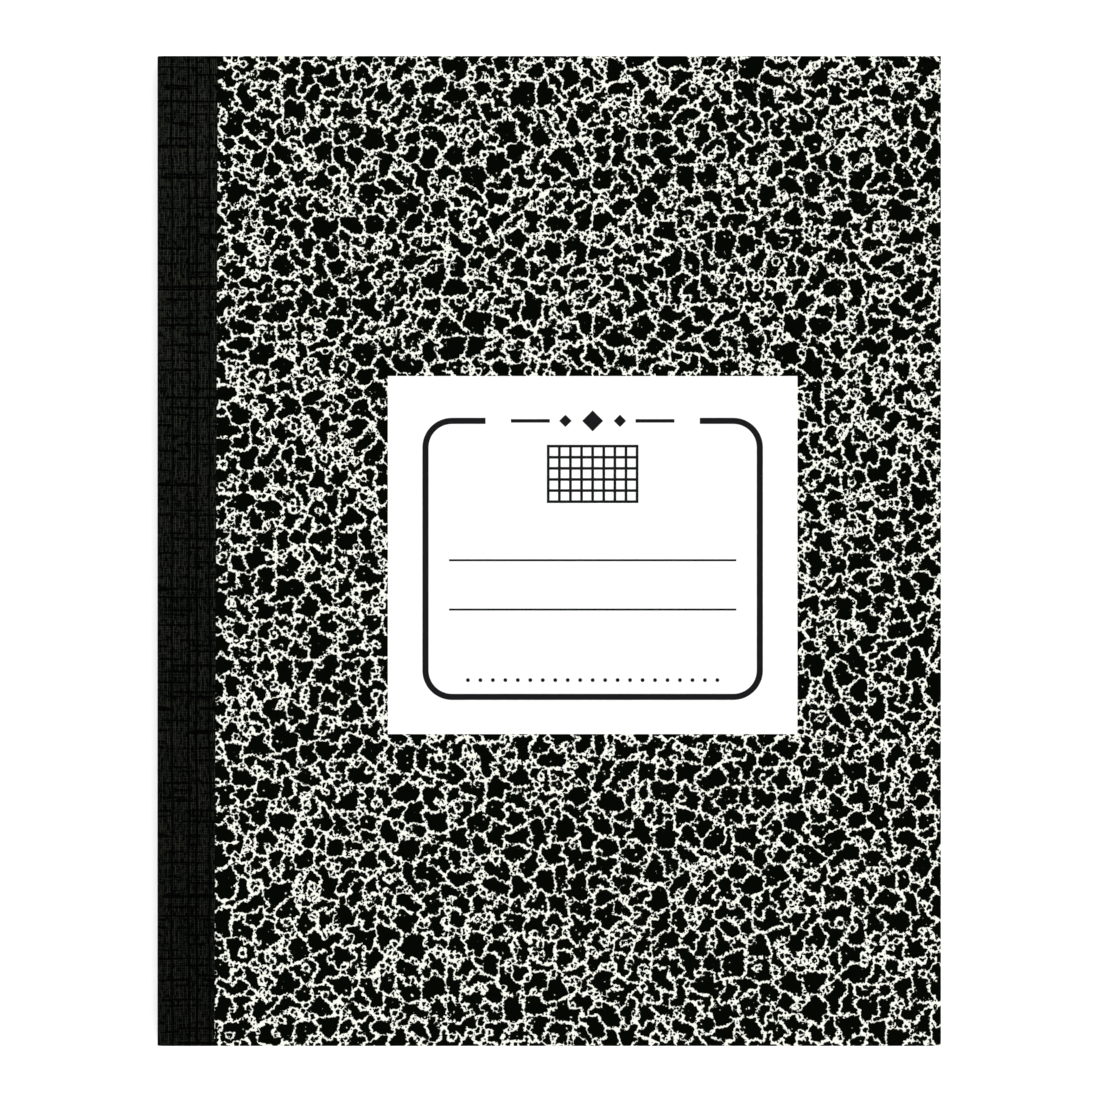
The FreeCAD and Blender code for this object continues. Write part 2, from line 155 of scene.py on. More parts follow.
class Graph:
    """Adds nodes to one tree."""

    def __init__(self, tree):
        self.tree = tree

    def feed(self, slot, value):
        """Links or sets one input."""
        if isinstance(value, Socket):
            self.tree.links.new(value.socket, slot)
        else:
            slot.default_value = value

    def add(self, kind, settings=None, output=0, **inputs):
        """A node of any type, its settings first and then the inputs named."""
        node = self.tree.nodes.new(kind)
        for name, value in (settings or {}).items():
            setattr(node, name, value)
        for name, value in inputs.items():
            slot = next(s for s in node.inputs if s.name == name and s.enabled)
            self.feed(slot, value)
        return Socket(self, node.outputs[output])

    def chain(self, kind, operation, *values):
        """A Math or Vector Math node, its values in the order of its inputs."""
        node = self.tree.nodes.new(kind)
        node.operation = operation
        slots = [slot for slot in node.inputs if slot.enabled]
        for slot, value in zip(slots, values):
            self.feed(slot, value)
        return Socket(self, next(s for s in node.outputs if s.enabled))

    def mix(self, factor, low, high):
        """A colour between low and high."""
        return self.add(
            "ShaderNodeMix", {"data_type": "RGBA"}, 2, Factor=factor, A=low, B=high
        )

    def place(self, name="Object"):
        """Object coordinates, or the UV or Normal that is named."""
        return self.add("ShaderNodeTexCoord", output=name)

    def noise(self, where, pitch, detail=0.0, dimensions="2D", output="Fac", roughness=0.5):
        """Noise whose features are about pitch metres across."""
        settings = {"noise_dimensions": dimensions}
        numbers = {"Scale": 1 / pitch, "Detail": detail, "Roughness": roughness}
        return self.add("ShaderNodeTexNoise", settings, output, Vector=where, **numbers)

    def bump(self, height, depth):
        """The normal of a surface raised by height, times depth in metres."""
        return self.add("ShaderNodeBump", Height=height, Distance=depth, Strength=1.0)


def shader_group(name, build):
    """A node group that takes a place and gives one number, for a pattern used more than once."""
    tree = bpy.data.node_groups.new(name, "ShaderNodeTree")
    tree.interface.new_socket("Place", in_out="INPUT", socket_type="NodeSocketVector")
    tree.interface.new_socket("Depth", in_out="OUTPUT", socket_type="NodeSocketFloat")
    graph = Graph(tree)
    result = build(graph, graph.add("NodeGroupInput"))
    graph.feed(tree.nodes.new("NodeGroupOutput").inputs[0], result)
    return tree


def finish(name, build, roughness, specular):
    """A material whose build function gives the sockets of its shader that vary."""
    material = bpy.data.materials.new(name)
    material.use_nodes = True
    shader = material.node_tree.nodes["Principled BSDF"]
    shader.inputs["Roughness"].default_value = roughness
    shader.inputs["Specular IOR Level"].default_value = specular
    graph = Graph(material.node_tree)
    for slot, value in build(graph).items():
        graph.feed(shader.inputs[slot], value)
    return material


def shade(colour, share):
    """A colour with each part made darker or paler by a share."""
    return (*(share * part for part in colour[:3]), 1.0)


# The marbled paper's pattern. Each place in it has a depth: how far it lies inside a black blot,
# in metres, and less than nothing between blots.

def warped(graph, where, pitch, reach, detail=0.0):
    """The place pushed about by up to reach metres."""
    push = graph.noise(where, pitch, detail, output="Color")
    push = push.vector("SUBTRACT", (NOISE_MIDDLE,) * 3)
    return where.vector("ADD", push.vector("SCALE", 2 * reach))


def cells(graph, where, pitch, feature="F1", scatter=1.0):
    """How far the nearest (F1) or next (F2) of a field of scattered points is, its own chance
    value and its place."""
    settings = {"voronoi_dimensions": "2D", "feature": feature}
    numbers = {"Scale": 1 / pitch, "Randomness": scatter}
    away = graph.add("ShaderNodeTexVoronoi", settings, Vector=where, **numbers)
    outputs = away.socket.node.outputs
    chance = Socket(graph, outputs["Color"]).parts()[0]
    return away * pitch, chance, Socket(graph, outputs["Position"])


def measure(graph, tree, where):
    """What a pattern's node group gives at a place."""
    return graph.add("ShaderNodeGroup", {"node_tree": tree}, Place=where)


def blot_chance(settings):
    """The chance value of the blot that a drop's middle falls in."""

    def build(graph, where):
        bent = warped(graph, where, settings.bend_pitch, settings.bend)
        return cells(graph, bent, settings.blot_pitch)[1]

    return build


def run_together(settings):
    """Drops run together into blots. A vein is left between drops of two blots and all round a
    drop that stays alone."""
    never_apart = 1.0 * MM
    least_apart = 0.05 * MM
    same_chance = 1e-5
    drop_sizes = (0.75, 1.25)

    def build(graph, where):
        blot = shader_group("Blot of a drop", blot_chance(settings))
        wavy = warped(graph, where, settings.ripple_pitch, settings.ripple)
        drops = wavy, settings.drop_pitch
        near, chance, middle = cells(graph, *drops, scatter=settings.scatter)
        next_near, next_chance, next_middle = cells(graph, *drops, "F2", settings.scatter)
        apart = middle.vector("DISTANCE", next_middle).math("MAXIMUM", least_apart)
        edge = (next_near * next_near - near * near) / (apart * 2.0)
        difference = measure(graph, blot, middle) - measure(graph, blot, next_middle)
        parted = difference.math("ABSOLUTE").math("GREATER_THAN", same_chance)
        alone = chance.math("MAXIMUM", next_chance).math("GREATER_THAN", 1.0 - settings.alone)
        joined = 1.0 - parted.math("MAXIMUM", alone)
        uneven = graph.noise(where, settings.swell_pitch) - NOISE_MIDDLE
        vein = uneven * settings.vein_unevenness + settings.vein_width
        disc = chance.between(*drop_sizes) * settings.drop_radius - near
        return disc.math("MINIMUM", edge - vein) + joined * never_apart

    return build


def fitted_dots(graph, where, settings, blots):
    """Round dots in the room that the blots leave, each as large as fits."""
    dot_sizes = (0.5, 1.1)
    least_radii = (0.049 * MM, 0.05 * MM)
    out_of_sight = 2 * MM
    away, chance, middle = cells(graph, where, settings.dot_pitch)
    room = measure(graph, blots, middle) * -1.0 - settings.dot_gap
    radius = room.math("MINIMUM", chance.between(*dot_sizes) * settings.dot_radius)
    too_small = 1.0 - radius.step(*least_radii)
    return radius - too_small * out_of_sight - away


def marbling(graph, where, settings):
    """How black the marbled paper is at each place, 0 to 1."""
    patch_pitch = 2.1 * MM
    speckled_tones = (0.5, 0.62)
    blots = shader_group("Blots", run_together(settings))
    grain = graph.noise(
        where, settings.rough_pitch, settings.rough_detail, output="Color",
        roughness=settings.rough_share,
    )
    ragged, specks, _ = grain.parts()
    rough = (ragged - NOISE_MIDDLE) * settings.roughness
    above = specks - NOISE_MIDDLE - settings.speck_floor
    bite = above.math("MAXIMUM", 0.0) * settings.speck_depth
    speckled = graph.noise(where, patch_pitch).step(*speckled_tones)
    main = measure(graph, blots, where) + rough - bite * speckled
    depth = main.math("MAXIMUM", fitted_dots(graph, where, settings, blots))
    return depth.step(-settings.softness, settings.softness)


def facing_up(graph):
    """1 on a sheet's two faces and 0 on its cut edges."""
    edge_to_face = (0.5, 0.8)
    across = graph.place("Normal").parts()[2].math("ABSOLUTE")
    return across.step(*edge_to_face)


def marbled_paper(name, settings, shift):
    """Smooth printed paper, its pattern moved by shift; a cut edge shows the bare sheet."""

    def build(graph):
        where = graph.add("ShaderNodeMapping", Vector=graph.place(), Location=shift)
        black = marbling(graph, where, settings) * facing_up(graph)
        fibres = graph.noise(graph.place(), pitch=0.3 * MM)
        return {
            "Base Color": graph.mix(black, settings.paper_colour, settings.ink_colour),
            "Normal": graph.bump(fibres, depth=0.006 * MM),
        }

    return finish(name, build, roughness=0.3, specular=0.02)


def pulp_board(settings):
    """Grey-beige pressed board, flecked where it is cut."""
    flattened = (0.15, 0.15, 1.0)
    fleck_share = 0.6
    dark = shade(settings.board_colour, 0.72)

    def build(graph):
        where = graph.place()
        flecks = graph.noise(where, pitch=0.35 * MM, detail=3.0, dimensions="3D")
        flat = where.vector("MULTIPLY", flattened)
        layers = graph.noise(flat, pitch=0.12 * MM, detail=2.0, dimensions="3D")
        tone = (flecks * fleck_share + layers * (1.0 - fleck_share)).step(*MID_TONES)
        return {
            "Base Color": graph.mix(tone, dark, settings.board_colour),
            "Normal": graph.bump(flecks, depth=0.03 * MM),
        }

    return finish("Pressed board", build, roughness=0.85, specular=0.2)


def plain_paper(name, colour, roughness=0.7):
    """Uncoated paper: a faint cloudiness and a fibre grain."""
    duller = shade(colour, 0.975)

    def build(graph):
        where = graph.place()
        cloud = graph.noise(where, pitch=4.0 * MM, detail=2.0, dimensions="3D")
        fibres = graph.noise(where, pitch=0.3 * MM, detail=3.0, dimensions="3D")
        return {
            "Base Color": graph.mix(cloud.step(*MID_TONES), duller, colour),
            "Normal": graph.bump(fibres, depth=0.012 * MM),
        }

    return finish(name, build, roughness, specular=0.25)


def squared_paper(settings):
    """Leaf paper ruled in squares on its faces, its cut edges streaked from leaf to leaf with
    painted shade of the gaps between the leaves.
    """
    half_way = 0.5
    line_fade = (0.6, 1.4)
    line_strength = 0.75
    flattened = (0.02, 0.02, 1.0)
    gap_shade_tones = (0.25, 0.75)

    def build(graph):
        where = graph.place()
        x, y, _ = where.parts()
        pitch = settings.square
        line_edge = [share * settings.line_width / 2 for share in line_fade]

        def ruled(along, start):
            from_line = ((along - start) / pitch).math("PINGPONG", half_way) * pitch
            return 1.0 - from_line.step(*line_edge)

        lines = ruled(x, LEAVES_HIGH.x).math("MAXIMUM", ruled(y, HEAD_Y))
        face = facing_up(graph)
        cloud = graph.noise(where, pitch=5.0 * MM, detail=2.0, dimensions="3D")
        clean = graph.mix(cloud.step(*MID_TONES), settings.shade_colour, settings.paper_colour)
        page = graph.mix(lines * line_strength, clean, settings.line_colour)
        # The cut edges: streaks of painted shade from leaf to leaf, standing in for the shade in
        # the gaps between the leaves.
        flat = where.vector("MULTIPLY", flattened)
        gap_shade_streaks = graph.noise(flat, pitch=0.32 * MM, detail=3.0, dimensions="3D")
        cut = graph.mix(gap_shade_streaks.step(*gap_shade_tones), settings.gap_shade_colour, settings.paper_colour)
        fibres = graph.noise(where, pitch=0.3 * MM, detail=3.0, dimensions="3D")
        return {
            "Base Color": graph.mix(face, cut, page),
            "Normal": graph.bump(fibres, depth=0.012 * MM),
        }

    return finish("Squared leaf paper", build, roughness=0.75, specular=0.2)


def cotton(settings):
    """Pale twisted cotton, darker in the dips of its fuzz as painted shade."""

    def build(graph):
        fuzz = graph.noise(graph.place(), pitch=0.06 * MM, detail=2.0, dimensions="3D")
        # Painted shade: the colour follows the fuzz's height, darker where the bump is low.
        return {
            "Base Color": graph.mix(fuzz, settings.shade_colour, settings.thread_colour),
            "Normal": graph.bump(fuzz, depth=0.02 * MM),
        }

    return finish("Cotton thread", build, roughness=0.9, specular=0.1)


def linen_tape(settings):
    """Black book cloth. U runs across the tape and V along the spine, both in metres."""
    level_pitch = 1.3 * settings.thread_pitch
    upright_strength = 1.15
    level_strength = 0.5

    def build(graph):
        where = graph.place("UV")
        woven = warped(graph, where, 18 * MM, 0.45 * MM, detail=1.0)
        across, along, _ = woven.parts()
        upright = threads(graph, across, settings.thread_pitch)
        level = threads(graph, along, level_pitch)
        long_slubs = slubs(graph, woven, stretch=(1.0, 0.3, 1.0), tones=(0.32, 0.66))
        cross_slubs = slubs(graph, woven, stretch=(0.4, 1.0, 1.0), tones=(0.34, 0.62))
        weave = upright * long_slubs * upright_strength + level * cross_slubs * level_strength
        return cloth_colours(graph, settings, where, across, along, weave)

    return finish("Linen tape", build, roughness=0.8, specular=0.004)


def slubs(graph, where, stretch, tones):
    """Thick and thin places in the threads, 0 to 1."""
    stretched = where.vector("MULTIPLY", stretch)
    return graph.noise(stretched, pitch=0.5 * MM, detail=1.0).step(*tones)


def threads(graph, distance, pitch):
    """Rounded threads side by side, each of its own strength, 0 to 1."""
    weakest = 0.4
    count = distance / pitch
    rounded = (count * (2 * HALF_TURN)).math("COSINE") * -0.5 + 0.5
    chance = graph.add(
        "ShaderNodeTexWhiteNoise", {"noise_dimensions": "1D"}, W=count.math("FLOOR")
    )
    return rounded * chance.between(weakest, 1.0)


def furrow(graph, along, pitch, width, seed):
    """Irregular dark lines across a direction, one for about each pitch, 0 to 1: furrows, darkened
    as painted shade.
    """
    darkest_share = 0.35
    line = graph.add(
        "ShaderNodeTexVoronoi", {"voronoi_dimensions": "1D"}, W=along / pitch + seed, Scale=1.0
    )
    return 1.0 - (line * pitch).step(darkest_share * width, width)


def cloth_colours(graph, settings, where, across, along, weave):
    """The weave's colour and relief, with its long furrows and broken cross lines, lighter towards
    the head. The colour follows the relief: between the threads and in the furrows it is painted
    shade, darkened towards the groove colour.
    """
    furrow_width = 0.4 * MM
    furrow_depth = 0.92
    level_pitch = 0.62 * settings.furrow_pitch
    cross_stretch = (0.35, 1.0, 1.0)
    cross_gaps = (0.44, 0.54)
    patch_strengths = (0.8, 1.1)
    end_strengths = (0.75, 1.25)
    upright = furrow(graph, across, settings.furrow_pitch, furrow_width, seed=3.0)
    level = furrow(graph, along, level_pitch, furrow_width, seed=9.0)
    stretched = where.vector("MULTIPLY", cross_stretch)
    broken = graph.noise(stretched, pitch=2.2 * MM).step(*cross_gaps)
    dark = upright.math("MAXIMUM", level * broken)
    patches = graph.noise(where, pitch=9 * MM, detail=2.0).step(*MID_TONES)
    towards_head = along.step(TAIL_Y, HEAD_Y)
    raised = weave * (1.0 - dark * furrow_depth) * patches.between(*patch_strengths)
    raised = raised * towards_head.between(*end_strengths)
    tint = graph.mix(patches, settings.cloth_colour, settings.cloth_tint)
    # Painted shade: where the weave is low, between the threads and in the furrows, the colour
    # runs down to the groove colour.
    return {
        "Base Color": graph.mix(raised, settings.groove_shade_colour, tint),
        "Normal": graph.bump(raised, depth=0.06 * MM),
    }


def printed_ink(colour):
    """Flat black print, a little uneven."""
    paler = shade(colour, 1.35)
    grain_tones = (0.35, 0.75)

    def build(graph):
        grain = graph.noise(graph.place(), pitch=0.2 * MM, detail=2.0, dimensions="3D")
        return {"Base Color": graph.mix(grain.step(*grain_tones), colour, paler)}

    return finish("Print", build, roughness=0.5, specular=0.02)


# Meshes.

def show(name, mesh, *materials):
    """An object in the scene for a mesh that already lies in its place."""
    for material in materials:
        mesh.materials.append(material)
    obj = bpy.data.objects.new(name, mesh)
    bpy.context.scene.collection.objects.link(obj)
    return obj


def dress(node, material):
    """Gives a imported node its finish."""
    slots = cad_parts[node].data.materials
    slots.clear()
    slots.append(material)


def soften(mesh, degrees=35):
    """Smooth shading, with an edge kept sharp where faces meet at more than some degrees."""
    mesh.shade_smooth()
    mesh.set_sharp_from_angle(angle=math.radians(degrees))


def wrapped_strip(name, section, rows, gauge):
    """A strip of even thickness that turns round the spine. section gives, for one Y, the points
    (distance, x, z, outward x, outward z) of its outer face in order; each row is one Y."""
    mesh = bpy.data.meshes.new(name)
    build = bmesh.new()
    sheet = build.loops.layers.uv.new("UVMap")
    place = {}
    loops = []
    for y in rows:
        outside, inside = [], []
        for distance, x, z, out_x, out_z in section(y):
            for ring, depth in ((outside, 0.0), (inside, gauge)):
                vertex = build.verts.new((x - out_x * depth, y, z - out_z * depth))
                place[vertex] = (distance, y)
                ring.append(vertex)
        loops.append(outside + inside[::-1])
    count = len(loops[0])
    for low, high in zip(loops, loops[1:]):
        for i in range(count):
            after = (i + 1) % count
            build.faces.new((low[i], low[after], high[after], high[i]))
    for end in (loops[0], loops[-1]):
        for i in range(count // 2 - 1):
            build.faces.new((end[i], end[i + 1], end[count - 2 - i], end[count - 1 - i]))
    bmesh.ops.recalc_face_normals(build, faces=build.faces)
    for face in build.faces:
        for loop in face.loops:
            loop[sheet].uv = place[loop.vert]
    build.to_mesh(mesh)
    build.free()
    soften(mesh)
    return mesh


def turned_section(x_outside, rise, radius, side, edge, turn_steps=20, flat_steps=6):
    """Points for wrapped_strip: from the middle of the spine up or down to a cover and on to its
    edge. rise is the outer face's height from the middle; edge gives the far end's X for a Y."""
    straight = rise - radius
    centre_x = x_outside + radius

    def section(y):
        points = [(0.0, x_outside, MIDDLE_Z, -1.0, 0.0)]
        for step in range(turn_steps + 1):
            angle = HALF_TURN / 2 * step / turn_steps
            out_x, out_z = -math.cos(angle), math.sin(angle)
            z = straight + radius * out_z
            distance = straight + radius * angle
            points.append(
                (distance, centre_x + radius * out_x, MIDDLE_Z + side * z, out_x, side * out_z)
            )
        turned = straight + radius * HALF_TURN / 2
        for step in range(1, flat_steps + 1):
            reach = (edge(y) - centre_x) * step / flat_steps
            points.append(
                (turned + reach, centre_x + reach, MIDDLE_Z + side * rise, 0.0, float(side))
            )
        return [(side * point[0], *point[1:]) for point in points]

    return section


def cut_block(name, low, high, bevel):
    """A cut board: a flat block with its sharp edges just taken off."""
    mesh = bpy.data.meshes.new(name)
    build = bmesh.new()
    bmesh.ops.create_cube(build, size=1.0)
    size, middle = high - low, (high + low) / 2
    for vertex in build.verts:
        vertex.co = middle + Vector(a * b for a, b in zip(vertex.co, size))
    bmesh.ops.bevel(
        build, geom=build.edges[:], offset=bevel, segments=2, profile=0.5, affect="EDGES"
    )
    bmesh.ops.recalc_face_normals(build, faces=build.faces)
    build.to_mesh(mesh)
    build.free()
    soften(mesh)
    return mesh


class Recipe:
    """A Geometry Nodes tree with named inputs, and the mesh that it grows. ask holds the inputs'
    sockets by name."""

    KINDS = {
        float: "NodeSocketFloat",
        int: "NodeSocketInt",
        bpy.types.Material: "NodeSocketMaterial",
    }

    def __init__(self, name, values):
        self.tree = bpy.data.node_groups.new(name, "GeometryNodeTree")
        self.values = values
        self.identifiers = {}
        for label, value in values.items():
            kind = next(k for t, k in self.KINDS.items() if isinstance(value, t))
            item = self.tree.interface.new_socket(label, in_out="INPUT", socket_type=kind)
            self.identifiers[label] = item.identifier
        self.tree.interface.new_socket(
            "Geometry", in_out="OUTPUT", socket_type="NodeSocketGeometry"
        )
        self.graph = Graph(self.tree)
        entry = self.tree.nodes.new("NodeGroupInput")
        self.ask = {s.name: Socket(self.graph, s) for s in entry.outputs if s.name}

    def grow(self, name, result):
        """Ends the tree with real copies and their material, and keeps its mesh alone."""
        real = self.graph.add("GeometryNodeRealizeInstances", Geometry=result)
        done = self.graph.add(
            "GeometryNodeSetMaterial", Geometry=real, Material=self.ask["Material"]
        )
        self.graph.feed(self.tree.nodes.new("NodeGroupOutput").inputs["Geometry"], done)
        carrier = show(name, bpy.data.meshes.new(name + "_start"))
        modifier = carrier.modifiers.new(name, "NODES")
        modifier.node_group = self.tree
        for label, identifier in self.identifiers.items():
            modifier[identifier] = self.values[label]
        bpy.context.view_layer.update()
        evaluated = carrier.evaluated_get(bpy.context.evaluated_depsgraph_get())
        mesh = bpy.data.meshes.new_from_object(evaluated)
        carrier.modifiers.remove(modifier)
        carrier.data = mesh
        soften(mesh)
        return carrier


def combine(graph, x=0.0, y=0.0, z=0.0):
    """A vector from three numbers or sockets."""
    return graph.add("ShaderNodeCombineXYZ", X=x, Y=y, Z=z)


def folded_sheets(recipe):
    """Nested folded sheets. One fold's section is drawn once, repeated smaller and smaller, given
    its thickness and cut off square, each leaf a hair short by chance."""
    g, ask = recipe.graph, recipe.ask
    turn_points = 13
    section_points = turn_points + 2
    flank_steepness = 4.0
    fold_crowding = 0.95
    gap_share = 0.06
    head_chance = 1000.0
    merge_distance = 1e-7
    half, radius = ask["Half Thickness"], ask["Fold Radius"]
    index = g.add("GeometryNodeInputIndex")
    angle = (index - 1.0) * (HALF_TURN / (turn_points - 1)) + HALF_TURN / 2
    angle = angle.math("MAXIMUM", HALF_TURN / 2).math("MINIMUM", 1.5 * HALF_TURN)
    sine = angle.math("SINE")
    x = radius + radius * angle.math("COSINE") - half
    flank = (sine * flank_steepness).math("MAXIMUM", -1.0).math("MINIMUM", 1.0)
    z = radius * sine + (half - radius) * flank
    line = g.add("GeometryNodeMeshLine", Count=section_points)
    middle = (section_points - 1) / 2
    is_end = (index - middle).math("ABSOLUTE").math("GREATER_THAN", middle - 0.5)
    named = {"data_type": "FLOAT"}
    line = g.add(
        "GeometryNodeStoreNamedAttribute", named, Geometry=line, Name="leaf_end", Value=is_end
    )
    start = combine(g, x, ask["Leaf Height"] * -0.5, z)
    line = g.add("GeometryNodeSetPosition", Geometry=line, Position=start)
    along = combine(g, y=ask["Leaf Height"])
    fold = g.add("GeometryNodeExtrudeMesh", {"mode": "EDGES"}, Mesh=line, Offset=along)

    stack = g.add("GeometryNodeMeshLine", Count=ask["Sheets"], Offset=(0.0, 0.0, 0.0))
    stack = g.add(
        "GeometryNodeStoreNamedAttribute", named, Geometry=stack, Name="sheet", Value=index
    )
    lost = (index + 1.0) * ask["Leaf Gauge"]
    shrink_x = 1.0 - lost * fold_crowding / half
    shrink_z = 1.0 - (lost - ask["Leaf Gauge"] * gap_share) / half
    folds = g.add(
        "GeometryNodeInstanceOnPoints", Points=stack, Instance=fold,
        Scale=combine(g, shrink_x, 1.0, shrink_z),
    )
    sheets = g.add("GeometryNodeRealizeInstances", Geometry=folds)

    place = g.add("GeometryNodeInputPosition")
    x, y, z = place.parts()
    sheet = g.add("GeometryNodeInputNamedAttribute", named, Name="sheet")
    leaf_end = g.add("GeometryNodeInputNamedAttribute", named, Name="leaf_end")
    leaf = sheet * 2.0 + z.math("GREATER_THAN", 0.0)
    short = g.add(
        "FunctionNodeRandomValue", {"data_type": "FLOAT"}, 1, Min=0.0, Max=ask["Trim"],
        ID=leaf, Seed=ask["Seed"],
    )
    fore_edge = ask["Fore-edge X"] - ask["Fold X"] - half - short
    cut = combine(g, fore_edge, y, z)
    sheets = g.add(
        "GeometryNodeSetPosition", Geometry=sheets, Selection=leaf_end, Position=cut
    )
    end = sheet + y.math("GREATER_THAN", 0.0) * head_chance
    shorter = g.add(
        "FunctionNodeRandomValue", {"data_type": "FLOAT"}, 1, Min=0.0, Max=ask["Trim"],
        ID=end, Seed=ask["Seed"],
    )
    inward = combine(g, y=y.math("SIGN") * shorter * -1.0)
    sheets = g.add("GeometryNodeSetPosition", Geometry=sheets, Offset=inward)

    inner = g.add("GeometryNodeFlipFaces", Mesh=sheets)
    growth = {"Offset Scale": ask["Leaf Gauge"] * (1.0 - gap_share), "Individual": False}
    outer = g.add("GeometryNodeExtrudeMesh", {"mode": "FACES"}, Mesh=sheets, **growth)
    join = g.tree.nodes.new("GeometryNodeJoinGeometry")
    for part in (outer, inner):
        g.tree.links.new(part.socket, join.inputs[0])
    both = Socket(g, join.outputs[0])
    whole = g.add("GeometryNodeMergeByDistance", Geometry=both, Distance=merge_distance)
    centre = combine(g, ask["Fold X"] + half, 0.0, ask["Middle Z"])
    return g.add("GeometryNodeTransform", Geometry=whole, Translation=centre)


def twisted_run(graph, recipe, low, high):
    """Two plies twisted round each other along Y, from low to high."""
    ask = recipe.ask
    ply = ask["Thread Radius"] * 0.5
    spacing = 0.2 * MM
    line = graph.add(
        "GeometryNodeCurvePrimitiveLine", Start=combine(graph, y=low), End=combine(graph, y=high)
    )
    path = graph.add("GeometryNodeResampleCurve", {"mode": "LENGTH"}, Curve=line, Length=spacing)
    ring = graph.add("GeometryNodeCurvePrimitiveCircle", Resolution=6, Radius=ply)
    join = graph.tree.nodes.new("GeometryNodeJoinGeometry")
    along = graph.add("GeometryNodeInputPosition").parts()[1]
    for half_twist in (0.0, HALF_TURN):
        angle = along * (2 * HALF_TURN) / ask["Twist"] + half_twist
        aside = combine(graph, angle.math("COSINE") * ply, 0.0, angle.math("SINE") * ply)
        wound = graph.add("GeometryNodeSetPosition", Geometry=path, Offset=aside)
        swept = {"Curve": wound, "Profile Curve": ring, "Fill Caps": True}
        tube = graph.add("GeometryNodeCurveToMesh", **swept)
        graph.tree.links.new(tube.socket, join.inputs[0])
    return Socket(graph, join.outputs[0])


def lock_stitches(recipe):
    """One run of thread outside the fold, one in the gutter, and a leg through each hole."""
    g, ask = recipe.graph, recipe.ask
    run = twisted_run(g, recipe, ask["Tail Y"], ask["Head Y"])
    leg = twisted_run(g, recipe, 0.0, ask["Inside X"] - ask["Outside X"])
    leg = g.add("GeometryNodeTransform", Geometry=leg, Rotation=(0.0, 0.0, -HALF_TURN / 2))
    start = combine(g, ask["Outside X"], ask["First Stitch"], ask["Middle Z"])
    holes = g.add(
        "GeometryNodeMeshLine", Count=ask["Stitches"],
        **{"Start Location": start, "Offset": combine(g, y=ask["Stitch Pitch"])},
    )
    join = g.tree.nodes.new("GeometryNodeJoinGeometry")
    legs = g.add("GeometryNodeInstanceOnPoints", Points=holes, Instance=leg)
    g.tree.links.new(legs.socket, join.inputs[0])
    for label in ("Outside X", "Inside X"):
        moved = combine(g, ask[label], 0.0, ask["Middle Z"])
        placed = g.add("GeometryNodeTransform", Geometry=run, Translation=moved)
        g.tree.links.new(placed.socket, join.inputs[0])
    return Socket(g, join.outputs[0])


# What a user would change.

def length(name, description, default):
    """A setting in metres."""
    return FloatProperty(
        name=name, description=description, default=default, min=0.0, precision=5, unit="LENGTH"
    )


def colour(name, description, default):
    """A colour setting."""
    return FloatVectorProperty(
        name=name, description=description, default=default, size=4, min=0.0, max=1.0,
        subtype="COLOR",
    )


class LeafSettings(PropertyGroup):
    """The leaves and their ruling"""

    sheets: IntProperty(
        name="Sheets", description="Folded sheets in the section, two leaves each", default=40,
        min=2,
    )
    trim: length("Trim", "Most that a leaf falls short of the cut edges", 0.06 * MM)
    seed: IntProperty(name="Seed", description="Chance of the leaves' ends", default=7)
    square: length("Square", "Side of a ruled square", 5.08 * MM)
    line_width: length("Ruled line", "Width of a ruled line", 0.22 * MM)
    paper_colour: colour("Paper", "Leaf paper", (0.765, 0.755, 0.705, 1))
    shade_colour: colour("Paper shade", "Cloudiness in the leaf paper", (0.745, 0.735, 0.685, 1))
    # Painted shade of the gaps between the leaves, streaked over the cut edges.
    gap_shade_colour: colour("Cut edge", "Darker leaves in the cut edges", (0.63, 0.61, 0.555, 1))
    line_colour: colour("Ruling", "Ruled lines", (0.28, 0.47, 0.68, 1))


class ThreadSettings(PropertyGroup):
    """The sewing"""

    stitch: length("Stitch", "Length of one stitch", 8.0 * MM)
    stitches: IntProperty(name="Stitches", description="Holes in the fold", default=31, min=1)
    twist: length("Twist", "Length of one turn of the two plies", 0.9 * MM)
    thread_colour: colour("Thread", "Cotton", (0.86, 0.85, 0.81, 1))
    # Painted shade in the dips of the cotton's fuzz, where its bump is low.
    shade_colour: colour("Thread shade", "Darker fuzz of the cotton", (0.66, 0.64, 0.59, 1))


class EndpaperSettings(PropertyGroup):
    """The outermost sheet"""

    corner: length("Lining corner", "Radius of the endpapers' turn at a cover", 1.0 * MM)
    paper_colour: colour("Lining", "Endpapers", (0.765, 0.765, 0.74, 1))


class CoverSettings(PropertyGroup):
    """The cover boards"""

    worn_edge: length("Worn edge", "Rounding of a board's cut edges", 0.07 * MM)
    board_colour: colour("Board", "Pressed board where it is cut", (0.62, 0.58, 0.5, 1))


